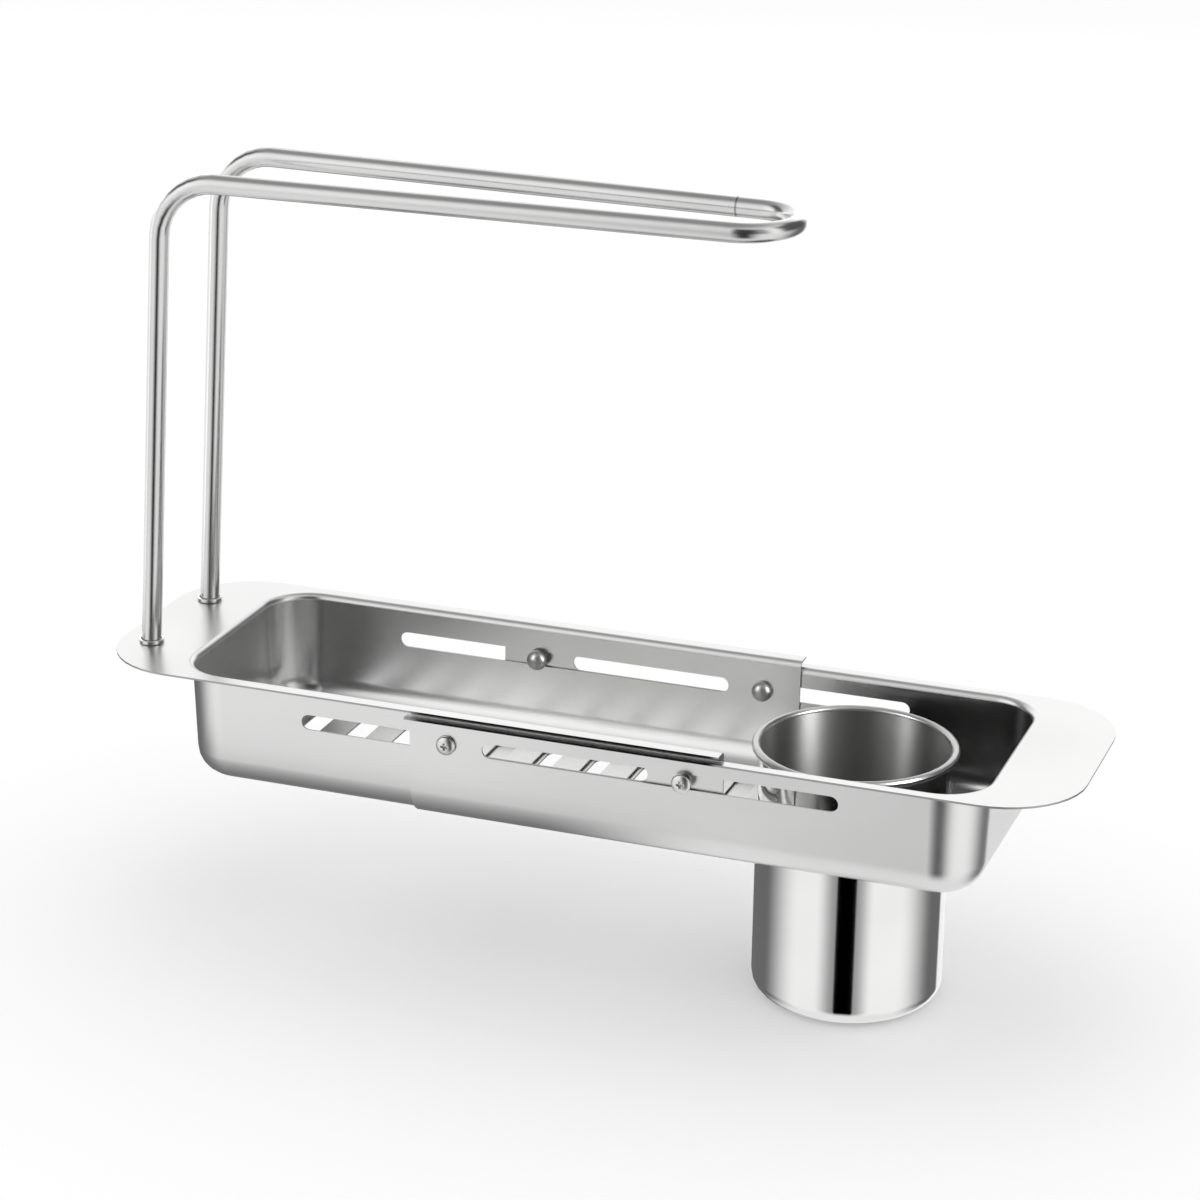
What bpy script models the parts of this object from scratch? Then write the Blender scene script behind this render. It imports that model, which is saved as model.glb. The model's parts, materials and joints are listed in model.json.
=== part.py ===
"""Telescoping sink drainer: two nested steel trays, a lift-out cup and a bent towel bar.

Metres, +Z up. The origin lies on the underside of the left wing, midway between the two posts.
X runs along the length to the right, the front wall is at -Y.
"""
import math

import bmesh
import bpy
from mathutils import Matrix, Vector

# Fits
FIT_GAP = 0.0003
NEST_GAP = 0.00035
SCALLOP_GAP = 0.0004

# Sheet and sections of both trays
SHEET = 0.0008
FLANGE_HALF_WIDTH = 0.0575
FLANGE_REACH = 0.0073
TRAY_DEPTH = 0.0477
FLANGE_BEND = 0.0025
FLOOR_FILLET = 0.011
PLAN_CORNER = 0.019
WING_CORNER = 0.034
WALL_DRAFT = math.radians(2.0)
TRAY_STEP = 0.0031

# Lengths of the trays and wings along X, the span from closed end to closed end
POST_SETBACK = 0.0238
TRAY_SPAN = 0.3296
LEFT_TRAY_SHARE = 0.6972
RIGHT_TRAY_SHARE = 0.6939
LEFT_WING_REACH = 0.0373
RIGHT_WING_REACH = 0.0344

# Guide slots in the long walls
GUIDE_SLOT_HEIGHT = 0.0064
GUIDE_SLOT_DROP = 0.0145
GUIDE_END_MARGIN = 0.0539
GUIDE_OPEN_MARGIN = 0.0304

# Drain slots in the floors
DRAIN_WIDTH = 0.009
DRAIN_PITCH = 0.0208
DRAIN_SIDE_MARGIN = 0.0039
LEFT_DRAIN_INSET = 0.027
RIGHT_DRAIN_INSET = 0.0318
SCALLOP_LAND = 0.008
CUP_LAND = 0.012

# Slide screws and cap nuts
LEFT_SCREW_INSET = 0.0155
RIGHT_SCREW_INSET = 0.0158
SHOULDER_RADIUS = 0.0025
THREAD_RADIUS = 0.0017
SCREW_STAND = 0.0015
HEAD_RADIUS = 0.004
HEAD_HEIGHT = 0.0021
HEAD_CROWN = 0.0014
RECESS_SPAN = 0.0044
RECESS_WIDTH = 0.0014
RECESS_DEPTH = 0.0015
RECESS_TAPER_SHARE = 0.45
THREAD_LENGTH = 0.0028
NUT_RADIUS = 0.0043
NUT_HEIGHT = 0.004
NUT_DOME = 0.0032

# Cup
CUP_SETBACK = 0.0619
CUP_SIDE_MARGIN = 0.01215
CUP_SHEET = 0.0008
CUP_RIM_DROP = 0.0099
CUP_RIM_REACH = 0.00265
CUP_BOTTOM_DROP = 0.1153
CUP_BOTTOM_FILLET = 0.0075
BEAD_HEIGHT = 0.00155
BEAD_CREST = 0.0014
BEAD_FLANK = 0.001
HOLE_MARGIN = 0.00035

# Towel bar
TUBE_RADIUS = 0.004
TUBE_WALL = 0.0008
POST_SPREAD = 0.0268
POST_LEAN = math.radians(3.0)
RAIL_HEIGHT = 0.1941
POST_BEND = 0.024
RAIL_END_X = 0.2408
RAIL_END_RADIUS = 0.0195

# Post feet
RING_RADIUS = 0.0052
RING_HEIGHT = 0.0015
RING_ROUND = 0.0005
PLUG_LENGTH = 0.008
PLUG_RECESS = 0.0008
POST_SCREW_RADIUS = 0.0015
POST_SCREW_REACH = 0.0078
POST_HEAD_FLATS = 0.006
WASHER_RADIUS = 0.0046
WASHER_SHEET = 0.0005

# Steps of the round shapes
CORNER_STEPS = 10
FILLET_STEPS = 6
BEND_STEPS = 4
SLOT_STEPS = 8
HOLE_STEPS = 16
CUP_STEPS = 40
TUBE_SIDES = 16
POST_BEND_STEPS = 8
RAIL_END_STEPS = 18
ROLL_STEPS = 7
BEAD_STEPS = 3
SMALL_STEPS = 18

WELD = 1e-6
SMOOTH_ANGLE = math.radians(35.0)

# Derived places along X
LEFT_END_X = POST_SETBACK
LEFT_WING_X = LEFT_END_X - LEFT_WING_REACH
LEFT_OPEN_X = LEFT_END_X + TRAY_SPAN * LEFT_TRAY_SHARE
RIGHT_END_X = LEFT_END_X + TRAY_SPAN
RIGHT_WING_X = RIGHT_END_X + RIGHT_WING_REACH
RIGHT_OPEN_X = RIGHT_END_X - TRAY_SPAN * RIGHT_TRAY_SHARE
LEFT_SCREW_X = RIGHT_OPEN_X + LEFT_SCREW_INSET
RIGHT_SCREW_X = LEFT_OPEN_X - RIGHT_SCREW_INSET
CUP_X = RIGHT_END_X - CUP_SETBACK

# Derived levels and widths
FLANGE_TOP = SHEET
LEFT_BOTTOM = FLANGE_TOP - TRAY_DEPTH
RIGHT_FLANGE_TOP = FLANGE_TOP - TRAY_STEP
RIGHT_FLOOR = LEFT_BOTTOM - NEST_GAP
RIGHT_DEPTH = RIGHT_FLANGE_TOP - RIGHT_FLOOR + SHEET
GUIDE_LEVEL = FLANGE_TOP - GUIDE_SLOT_DROP
WALL_HALF_WIDTH = FLANGE_HALF_WIDTH - FLANGE_REACH
FLOOR_HALF_WIDTH = (
    WALL_HALF_WIDTH
    - (TRAY_DEPTH - SHEET - FLOOR_FILLET) * math.tan(WALL_DRAFT)
    - FLOOR_FILLET / math.cos(WALL_DRAFT)
)
DRAIN_LENGTH = 2 * (FLOOR_HALF_WIDTH - DRAIN_SIDE_MARGIN)
RIGHT_HALF_WIDTH = (
    WALL_HALF_WIDTH
    + (SHEET + NEST_GAP) / math.cos(WALL_DRAFT)
    - TRAY_STEP * math.tan(WALL_DRAFT)
)
RIGHT_FILLET = FLOOR_FILLET + SHEET + NEST_GAP
CUP_RADIUS = WALL_HALF_WIDTH - CUP_SIDE_MARGIN
CUP_RIM_RADIUS = CUP_RADIUS + CUP_RIM_REACH
CUP_RIM_TOP = FLANGE_TOP - CUP_RIM_DROP
CUP_BOTTOM = FLANGE_TOP - CUP_BOTTOM_DROP
CUP_HOLE_RADIUS = CUP_RADIUS + HOLE_MARGIN
SCALLOP_RADIUS = CUP_RADIUS + BEAD_HEIGHT + SCALLOP_GAP
POST_HEAD_HEIGHT = TRAY_STEP - WASHER_SHEET - 2 * FIT_GAP
RAIL_TURN = (
    math.acos(RAIL_END_RADIUS / math.hypot(POST_SPREAD, RAIL_END_X))
    - math.atan2(RAIL_END_X, POST_SPREAD)
)


def new_material(name, color, roughness, metallic=1.0):
    """Principled material of one sub-part family."""
    material = bpy.data.materials.new(name)
    material.use_nodes = True
    shader = material.node_tree.nodes["Principled BSDF"]
    shader.inputs["Base Color"].default_value = (*color, 1.0)
    shader.inputs["Roughness"].default_value = roughness
    shader.inputs["Metallic"].default_value = metallic
    material.diffuse_color = (*color, 1.0)
    return material


def object_from(bm, name, material=None):
    """Weld, orient and link a finished bmesh as one named object."""
    bmesh.ops.remove_doubles(bm, verts=bm.verts, dist=WELD)
    bmesh.ops.recalc_face_normals(bm, faces=bm.faces)
    mesh = bpy.data.meshes.new(name)
    bm.to_mesh(mesh)
    bm.free()
    obj = bpy.data.objects.new(name, mesh)
    bpy.context.scene.collection.objects.link(obj)
    if material:
        mesh.materials.append(material)
    return obj


def combine(target, cutter, operation="DIFFERENCE"):
    """Apply an exact Boolean of the cutter to the target and drop the cutter."""
    cutter.hide_render = True
    cutter.display_type = "WIRE"
    modifier = target.modifiers.new("cut", "BOOLEAN")
    modifier.object = cutter
    modifier.operation = operation
    modifier.solver = "EXACT"
    bpy.context.view_layer.update()
    evaluated = target.evaluated_get(bpy.context.evaluated_depsgraph_get())
    result = bpy.data.meshes.new_from_object(evaluated)
    old = target.data
    target.modifiers.clear()
    target.data = result
    result.name = old.name
    bpy.data.meshes.remove(old)
    bpy.data.objects.remove(cutter)


def smooth(obj):
    """Shade round faces smooth and keep creases above the smoothing angle."""
    obj.data.shade_smooth()
    obj.data.set_sharp_from_angle(angle=SMOOTH_ANGLE)


def set_origin(obj, origin, parent=None):
    """Move the object's origin to a point without moving its surface."""
    obj.data.transform(Matrix.Translation(-origin))
    obj.location = origin
    if parent:
        obj.parent = parent
        obj.location = origin - parent.matrix_world.translation


def new_empty(name, origin, parent=None):
    """Empty that carries one moving body."""
    empty = bpy.data.objects.new(name, None)
    bpy.context.scene.collection.objects.link(empty)
    empty.location = origin
    if parent:
        empty.parent = parent
        empty.location = origin - parent.matrix_world.translation
    bpy.context.view_layer.update()
    return empty


def arc(center, radius, start, end, steps):
    """Points of a plane arc from the start angle to the end angle."""
    points = []
    for index in range(steps + 1):
        angle = start + (end - start) * index / steps
        points.append((center[0] + radius * math.cos(angle), center[1] + radius * math.sin(angle)))
    return points


def stadium(length, width, steps=SLOT_STEPS):
    """Outline of a slot with round ends, long along the first axis."""
    radius = width / 2
    reach = length / 2 - radius
    right = arc((reach, 0.0), radius, -math.pi / 2, math.pi / 2, steps)
    left = arc((-reach, 0.0), radius, math.pi / 2, math.pi * 3 / 2, steps)
    return right + left


def polygon(radius, sides, turn=0.0):
    """Corners of a regular polygon."""
    return arc((0.0, 0.0), radius, turn, turn + math.tau, sides)[:-1]


def prism(name, outline, bottom, top, matrix=None, end_scale=1.0, material=None):
    """Closed prism of a plane outline, optionally tapering to its top."""
    bm = bmesh.new()
    base = [bm.verts.new((x, y, bottom)) for x, y in outline]
    roof = [bm.verts.new((x * end_scale, y * end_scale, top)) for x, y in outline]
    bm.faces.new(base)
    bm.faces.new(roof)
    for index in range(len(base)):
        after = (index + 1) % len(base)
        bm.faces.new((base[index], base[after], roof[after], roof[index]))
    if matrix:
        bmesh.ops.transform(bm, matrix=matrix, verts=bm.verts)
    return object_from(bm, name, material)


def revolve(name, outline, steps, material=None, matrix=None):
    """Spin a closed outline of (radius, height) points about Z."""
    bm = bmesh.new()
    verts = [bm.verts.new((radius, 0.0, height)) for radius, height in outline]
    for index in range(len(verts)):
        bm.edges.new((verts[index - 1], verts[index]))
    bmesh.ops.spin(
        bm,
        geom=bm.verts[:] + bm.edges[:],
        cent=(0.0, 0.0, 0.0),
        axis=(0.0, 0.0, 1.0),
        angle=math.tau,
        steps=steps,
        use_merge=True,
    )
    bmesh.ops.remove_doubles(bm, verts=bm.verts, dist=WELD)
    bmesh.ops.dissolve_degenerate(bm, edges=bm.edges, dist=WELD)
    axis_edges = [
        edge for edge in bm.edges
        if all(math.hypot(vert.co.x, vert.co.y) < WELD for vert in edge.verts)
    ]
    bmesh.ops.delete(bm, geom=axis_edges, context="EDGES")
    if matrix:
        bmesh.ops.transform(bm, matrix=matrix, verts=bm.verts)
    return object_from(bm, name, material)


def across(center):
    """Frame whose own Z runs along the part's Y, with the long axis along X."""
    return Matrix.Translation(center) @ Matrix.Rotation(math.pi / 2, 4, "X")


def tray_skin(half_sheet, depth, fillet, bend, top):
    """Section of one skin, from the floor to the flange, as (offset, height) points."""
    slope = math.tan(WALL_DRAFT)
    lean = math.cos(WALL_DRAFT)
    fillet_level = top - depth + SHEET + fillet
    fillet_offset = (fillet_level - top) * slope - fillet / lean
    bend_level = top - bend
    bend_offset = (bend_level - top) * slope + bend / lean
    lower = arc(
        (fillet_offset, fillet_level), fillet + half_sheet, -math.pi / 2, -WALL_DRAFT, FILLET_STEPS
    )
    upper = arc(
        (bend_offset, bend_level), bend - half_sheet, math.pi - WALL_DRAFT, math.pi / 2, BEND_STEPS
    )
    return lower + upper


def tray_path(open_x, end_x, half_width, side):
    """Plan line of the wall's inner face as (point, outward direction) pairs."""
    center_x = end_x - side * PLAN_CORNER
    center_y = half_width - PLAN_CORNER
    path = [(Vector((open_x, half_width)), Vector((0.0, 1.0)))]
    for sign in (1.0, -1.0):
        turns = range(CORNER_STEPS + 1) if sign > 0 else range(CORNER_STEPS, -1, -1)
        for index in turns:
            angle = math.pi / 2 * index / CORNER_STEPS
            outward = Vector((side * math.sin(angle), sign * math.cos(angle)))
            center = Vector((center_x, sign * center_y))
            path.append((center + outward * PLAN_CORNER, outward))
    path.append((Vector((open_x, -half_width)), Vector((0.0, -1.0))))
    return path


def wing_outline(path, open_x, wing_x, side):
    """Outer edge of flange and wing, one point for each point of the path."""
    center_x = wing_x - side * WING_CORNER
    center_y = FLANGE_HALF_WIDTH - WING_CORNER
    outline = [Vector((open_x, FLANGE_HALF_WIDTH))]
    for point, outward in path[1:-1]:
        sign = 1.0 if point.y > 0 else -1.0
        outline.append(Vector((center_x, sign * center_y)) + outward * WING_CORNER)
    outline.append(Vector((open_x, -FLANGE_HALF_WIDTH)))
    return outline


def skin_rows(bm, path, section, outline, level):
    """Rows of vertices of one skin, one row per section point and one at the edge."""
    rows = []
    for offset, height in section:
        row = []
        for point, outward in path:
            place = point + outward * offset
            row.append(bm.verts.new((place.x, place.y, height)))
        rows.append(row)
    rows.append([bm.verts.new((place.x, place.y, level)) for place in outline])
    return rows


def bridge_rows(bm, first, second):
    """Quads between two rows of equal length."""
    for index in range(len(first) - 1):
        bm.faces.new((first[index], first[index + 1], second[index + 1], second[index]))


def floor_faces(bm, row):
    """Flat floor between the back half and the front half of the lowest row."""
    half = len(row) // 2
    back = row[:half]
    front = row[:half - 1:-1]
    bridge_rows(bm, back, front)


def tray(name, open_x, end_x, wing_x, half_width, top, depth, fillet, material):
    """Drafted sheet trough with one closed end, a flange all round and a wing."""
    side = 1.0 if end_x > open_x else -1.0
    path = tray_path(open_x, end_x, half_width, side)
    outline = wing_outline(path, open_x, wing_x, side)
    bm = bmesh.new()
    inner = skin_rows(bm, path, tray_skin(0.0, depth, fillet, FLANGE_BEND, top), outline, top)
    under_section = tray_skin(SHEET, depth, fillet, FLANGE_BEND, top)
    under = skin_rows(bm, path, under_section, outline, top - SHEET)
    for rows in (inner, under):
        floor_faces(bm, rows[0])
        for first, second in zip(rows, rows[1:]):
            bridge_rows(bm, first, second)
    bridge_rows(bm, inner[-1], under[-1])
    for end in (0, -1):
        bridge_rows(bm, [row[end] for row in inner], [row[end] for row in under])
    bridge_rows(bm, [inner[0][0], inner[0][-1]], [under[0][0], under[0][-1]])
    return object_from(bm, name, material)


def cut_guide_slot(obj, start_x, end_x):
    """Long slot through both long walls."""
    center = Vector(((start_x + end_x) / 2, 0.0, GUIDE_LEVEL))
    outline = stadium(end_x - start_x, GUIDE_SLOT_HEIGHT)
    reach = FLANGE_HALF_WIDTH
    combine(obj, prism("guide_cutter", outline, -reach, reach, across(center)))


def cut_drain_slots(obj, first_x, last_x, floor):
    """Row of cross slots through the floor, as many as fit before the last edge."""
    outline = [(y, x) for x, y in stadium(DRAIN_LENGTH, DRAIN_WIDTH)]
    count = int((last_x - DRAIN_WIDTH / 2 - first_x) / DRAIN_PITCH) + 1
    for index in range(count):
        place = Matrix.Translation((first_x + index * DRAIN_PITCH, 0.0, floor))
        combine(obj, prism("drain_cutter", outline, -FLOOR_FILLET / 2, FLOOR_FILLET / 2, place))


def wall_frame(x, front):
    """Frame on a long wall: origin on the inner tray's outer face, own Z pointing out."""
    sign = -1.0 if front else 1.0
    drop = FLANGE_TOP - GUIDE_LEVEL
    face = WALL_HALF_WIDTH - drop * math.tan(WALL_DRAFT) + SHEET / math.cos(WALL_DRAFT)
    outward = Vector((0.0, sign * math.cos(WALL_DRAFT), -math.sin(WALL_DRAFT)))
    turn = outward.to_track_quat("Z", "X").to_matrix().to_4x4()
    return Matrix.Translation((x, sign * face, GUIDE_LEVEL)) @ turn


def cut_screw_holes(obj, x):
    """Round holes of the screws fixed in this tray."""
    outline = polygon(SHOULDER_RADIUS + FIT_GAP, HOLE_STEPS)
    reach = FLOOR_FILLET / 2
    for front in (True, False):
        combine(obj, prism("screw_hole_cutter", outline, -reach, reach, wall_frame(x, front)))


def cut_post_holes(obj):
    """Holes in the left wing for the two post screws."""
    outline = polygon(POST_SCREW_RADIUS + FIT_GAP, HOLE_STEPS)
    for sign in (1.0, -1.0):
        place = Matrix.Translation((0.0, sign * POST_SPREAD, 0.0))
        combine(obj, prism("post_hole_cutter", outline, -TRAY_STEP, TRAY_STEP, place))


def cut_round(obj, radius, floor):
    """Round opening about the cup's axis through the floor."""
    place = Matrix.Translation((CUP_X, 0.0, floor))
    reach = FLOOR_FILLET / 2
    combine(obj, prism("cup_cutter", polygon(radius, CUP_STEPS), -reach, reach, place))


def make_left_tray(material):
    """Inner tray with its wing, post holes, slots and the scallop for the cup."""
    obj = tray(
        "left_tray", LEFT_OPEN_X, LEFT_END_X, LEFT_WING_X, WALL_HALF_WIDTH,
        FLANGE_TOP, TRAY_DEPTH, FLOOR_FILLET, material,
    )
    edge = min(LEFT_OPEN_X, CUP_X - SCALLOP_RADIUS) - SCALLOP_LAND
    cut_drain_slots(obj, LEFT_END_X + LEFT_DRAIN_INSET, edge, LEFT_BOTTOM)
    cut_round(obj, SCALLOP_RADIUS, LEFT_BOTTOM)
    cut_guide_slot(obj, LEFT_END_X + GUIDE_END_MARGIN, LEFT_OPEN_X - GUIDE_OPEN_MARGIN)
    cut_screw_holes(obj, RIGHT_SCREW_X)
    cut_post_holes(obj)
    smooth(obj)
    return obj


def make_right_tray(material, parent):
    """Outer tray with its wing, slots and the round hole for the cup."""
    obj = tray(
        "right_tray", RIGHT_OPEN_X, RIGHT_END_X, RIGHT_WING_X, RIGHT_HALF_WIDTH,
        RIGHT_FLANGE_TOP, RIGHT_DEPTH, RIGHT_FILLET, material,
    )
    edge = CUP_X - CUP_HOLE_RADIUS - CUP_LAND
    cut_drain_slots(obj, RIGHT_OPEN_X + RIGHT_DRAIN_INSET, edge, RIGHT_FLOOR)
    cut_round(obj, CUP_HOLE_RADIUS, RIGHT_FLOOR)
    cut_guide_slot(obj, RIGHT_OPEN_X + GUIDE_OPEN_MARGIN, RIGHT_END_X - GUIDE_END_MARGIN)
    cut_screw_holes(obj, LEFT_SCREW_X)
    smooth(obj)
    set_origin(obj, parent.matrix_world.translation.copy(), parent)
    return obj


def cup_skin(side):
    """One side of the cup's sheet, from the centre of the bottom to the end of the rolled rim."""
    half = CUP_SHEET / 2
    wall = CUP_RADIUS - half
    fillet = CUP_BOTTOM_FILLET - half
    roll = (CUP_RIM_RADIUS - half - wall) / 2
    turn = math.acos(1.0 - BEAD_HEIGHT / (BEAD_CREST + BEAD_FLANK))
    crest_level = RIGHT_FLOOR + FIT_GAP + (BEAD_CREST + half) * math.sin(turn)
    reach = (BEAD_CREST + BEAD_FLANK) * math.sin(turn)
    crest_offset = wall + BEAD_HEIGHT - BEAD_CREST
    flank_offset = wall + BEAD_FLANK
    shift = half * side
    quarter = math.pi / 2
    points = [(0.0, CUP_BOTTOM + half - shift)]
    points += arc(
        (wall - fillet, CUP_BOTTOM + half + fillet), fillet + shift, -quarter, 0.0, FILLET_STEPS
    )
    points += arc(
        (flank_offset, crest_level - reach), BEAD_FLANK - shift, math.pi, math.pi - turn, BEAD_STEPS
    )
    points += arc((crest_offset, crest_level), BEAD_CREST + shift, -turn, turn, BEAD_STEPS)[1:-1]
    points += arc(
        (flank_offset, crest_level + reach), BEAD_FLANK - shift, math.pi + turn, math.pi, BEAD_STEPS
    )
    points += arc(
        (wall + roll, CUP_RIM_TOP - half - roll), roll - shift, math.pi, -quarter / 2, ROLL_STEPS
    )
    return points


def make_cup(material, parent):
    """Deep cup with a rolled rim and the pressed bead that seats it in the outer tray."""
    outline = cup_skin(1.0) + cup_skin(-1.0)[::-1]
    axis = Matrix.Translation((CUP_X, 0.0, 0.0))
    obj = revolve("cup", outline, CUP_STEPS, material, axis)
    smooth(obj)
    set_origin(obj, parent.matrix_world.translation.copy(), parent)
    return obj


def post_frame(sign):
    """Frame at a post's foot: X along its rail, Z up."""
    turn = Matrix.Rotation(-sign * RAIL_TURN, 4, "Z")
    return Matrix.Translation((0.0, sign * POST_SPREAD, 0.0)) @ turn


def bar_half(sign):
    """Stations of one post, its bend and the start of its rail as (point, direction) pairs."""
    frame = post_frame(sign)
    foot = FLANGE_TOP + FIT_GAP + TUBE_RADIUS * math.sin(POST_LEAN)
    base = Vector((foot * math.tan(POST_LEAN), 0.0, foot))
    center_z = RAIL_HEIGHT - POST_BEND
    center_x = center_z * math.tan(POST_LEAN) + POST_BEND / math.cos(POST_LEAN)
    center = Vector((center_x, 0.0, center_z))
    pairs = [(base, POST_LEAN)]
    for index in range(POST_BEND_STEPS + 1):
        angle = (math.pi / 2 - POST_LEAN) * index / POST_BEND_STEPS + POST_LEAN
        radial = Vector((-math.cos(angle), 0.0, math.sin(angle)))
        pairs.append((center + radial * POST_BEND, angle))
    stations = []
    for point, angle in pairs:
        along = frame.to_3x3() @ Vector((math.sin(angle), 0.0, math.cos(angle)))
        stations.append((frame @ point, along))
    return stations


def bar_stations():
    """Stations along the whole loop, from the back foot to the front foot."""
    stations = bar_half(1.0)
    start = math.pi / 2 - RAIL_TURN
    for index in range(RAIL_END_STEPS + 1):
        angle = start - 2 * start * index / RAIL_END_STEPS
        radial = Vector((math.cos(angle), math.sin(angle), 0.0))
        along = Vector((math.sin(angle), -math.cos(angle), 0.0))
        center = Vector((RAIL_END_X, 0.0, RAIL_HEIGHT))
        stations.append((center + radial * RAIL_END_RADIUS, along))
    stations += [(point, -along) for point, along in reversed(bar_half(-1.0))]
    return stations


def tube_rings(bm, stations, radius):
    """Rings of vertices square to the line at each station, carried without twist."""
    side = Vector((0.0, 1.0, 0.0))
    rings = []
    for point, along in stations:
        side = (side - along * side.dot(along)).normalized()
        other = along.cross(side)
        ring = []
        for index in range(TUBE_SIDES):
            angle = math.tau * index / TUBE_SIDES
            place = point + (side * math.cos(angle) + other * math.sin(angle)) * radius
            ring.append(bm.verts.new(place))
        ring.append(ring[0])
        rings.append(ring)
    return rings


def make_towel_bar(material):
    """One hollow tube bent into two posts, two rails and the round end."""
    bm = bmesh.new()
    stations = bar_stations()
    outside = tube_rings(bm, stations, TUBE_RADIUS)
    inside = tube_rings(bm, stations, TUBE_RADIUS - TUBE_WALL)
    for rings in (outside, inside):
        for first, second in zip(rings, rings[1:]):
            bridge_rows(bm, first, second)
    for end in (0, -1):
        bridge_rows(bm, outside[end], inside[end])
    obj = object_from(bm, "towel_bar", material)
    smooth(obj)
    return obj


def make_post_ring(name, sign, material):
    """Collar round the foot of a post."""
    bore = TUBE_RADIUS / math.cos(POST_LEAN) + RING_HEIGHT * math.tan(POST_LEAN) + FIT_GAP
    base = FLANGE_TOP + FIT_GAP
    top = base + RING_HEIGHT
    outline = [(bore, base), (RING_RADIUS, base)]
    outline += arc((RING_RADIUS - RING_ROUND, top - RING_ROUND), RING_ROUND, 0.0, math.pi / 2, BEND_STEPS)
    outline += [(bore, top)]
    obj = revolve(name, outline, SMALL_STEPS, material)
    smooth(obj)
    obj.location = (0.0, sign * POST_SPREAD, 0.0)


def make_post_plug(name, sign, material):
    """Threaded plug in the foot of a post, bored upright for its screw."""
    radius = TUBE_RADIUS - TUBE_WALL - FIT_GAP
    foot = FLANGE_TOP + FIT_GAP + PLUG_RECESS
    lean = Matrix.Rotation(-sign * RAIL_TURN, 4, "Z") @ Matrix.Rotation(POST_LEAN, 4, "Y")
    obj = prism(name, polygon(radius, HOLE_STEPS), foot, foot + PLUG_LENGTH, lean, 1.0, material)
    bore = polygon(POST_SCREW_RADIUS + FIT_GAP, HOLE_STEPS)
    combine(obj, prism("plug_cutter", bore, 0.0, foot + 2 * PLUG_LENGTH))
    smooth(obj)
    obj.location = (0.0, sign * POST_SPREAD, 0.0)


def hex_outline(flats):
    """Hexagon given its size across the flats."""
    return polygon(flats / 2 / math.cos(math.pi / 6), 6)


def make_post_screw(name, sign, material):
    """Hexagon-head screw that pulls a post down on the wing from below."""
    bottom = -TRAY_STEP
    head_top = bottom + POST_HEAD_HEIGHT
    obj = prism(name, hex_outline(POST_HEAD_FLATS), bottom, head_top, None, 1.0, material)
    tip = POST_SCREW_RADIUS / 3
    shank = [
        (0.0, bottom + POST_HEAD_HEIGHT / 2),
        (POST_SCREW_RADIUS, bottom + POST_HEAD_HEIGHT / 2),
        (POST_SCREW_RADIUS, POST_SCREW_REACH - tip),
        (POST_SCREW_RADIUS - tip, POST_SCREW_REACH),
        (0.0, POST_SCREW_REACH),
    ]
    combine(obj, revolve("shank", shank, HOLE_STEPS), "UNION")
    smooth(obj)
    obj.location = (0.0, sign * POST_SPREAD, 0.0)


def make_post_washer(name, sign, material):
    """Plain washer between the screw head and the wing."""
    bore = POST_SCREW_RADIUS + FIT_GAP
    top = -FIT_GAP
    outline = [
        (bore, top - WASHER_SHEET),
        (WASHER_RADIUS, top - WASHER_SHEET),
        (WASHER_RADIUS, top),
        (bore, top),
    ]
    obj = revolve(name, outline, SMALL_STEPS, material)
    smooth(obj)
    obj.location = (0.0, sign * POST_SPREAD, 0.0)


def cross_outline(span, width):
    """Outline of a plus sign."""
    far = span / 2
    near = width / 2
    quarter = [(far, -near), (far, near), (near, near)]
    points = []
    for turn in range(4):
        for x, y in quarter:
            for _ in range(turn):
                x, y = -y, x
            points.append((x, y))
    return points


def dome_outline(radius, base, edge, rise):
    """Half outline of a round head: a short straight edge and a dome down or up to the axis."""
    points = [(radius, base)]
    for index in range(FILLET_STEPS + 1):
        angle = math.pi / 2 * index / FILLET_STEPS
        points.append((radius * math.cos(angle), base + edge + rise * math.sin(angle)))
    return points


def make_slide_screw(name, x, front, head_level, material, parent):
    """Pan-head shoulder screw, its head outside the trays."""
    seat = NEST_GAP + SHEET + head_level
    shoulder_end = seat - SHEET - NEST_GAP - SHEET - FIT_GAP - SCREW_STAND
    outline = [
        (0.0, shoulder_end - THREAD_LENGTH),
        (THREAD_RADIUS, shoulder_end - THREAD_LENGTH),
        (THREAD_RADIUS, shoulder_end),
        (SHOULDER_RADIUS, shoulder_end),
        (SHOULDER_RADIUS, seat),
    ]
    outline += dome_outline(HEAD_RADIUS, seat, HEAD_HEIGHT - HEAD_CROWN, HEAD_CROWN)
    obj = revolve(name, outline, SMALL_STEPS, material)
    top = seat + HEAD_HEIGHT
    recess = prism(
        "recess_cutter", cross_outline(RECESS_SPAN, RECESS_WIDTH), top + RECESS_DEPTH,
        top - RECESS_DEPTH, None, RECESS_TAPER_SHARE,
    )
    combine(obj, recess)
    smooth(obj)
    frame = wall_frame(x, front)
    obj.parent = parent
    obj.matrix_local = (parent.matrix_world.inverted() @ frame) if parent else frame


def make_cap_nut(name, x, front, head_level, material, parent):
    """Round domed nut inside the inner tray, bored blind for its screw."""
    seat = NEST_GAP + SHEET + head_level
    face = seat - SHEET - NEST_GAP - SHEET - FIT_GAP - SCREW_STAND - FIT_GAP
    bore = THREAD_RADIUS + FIT_GAP
    bore_end = face - THREAD_LENGTH - FIT_GAP
    outline = [(0.0, bore_end), (bore, bore_end), (bore, face)]
    outline += dome_outline(NUT_RADIUS, face, NUT_DOME - NUT_HEIGHT, -NUT_DOME)
    obj = revolve(name, outline, SMALL_STEPS, material)
    smooth(obj)
    frame = wall_frame(x, front)
    obj.parent = parent
    obj.matrix_local = (parent.matrix_world.inverted() @ frame) if parent else frame


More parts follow.
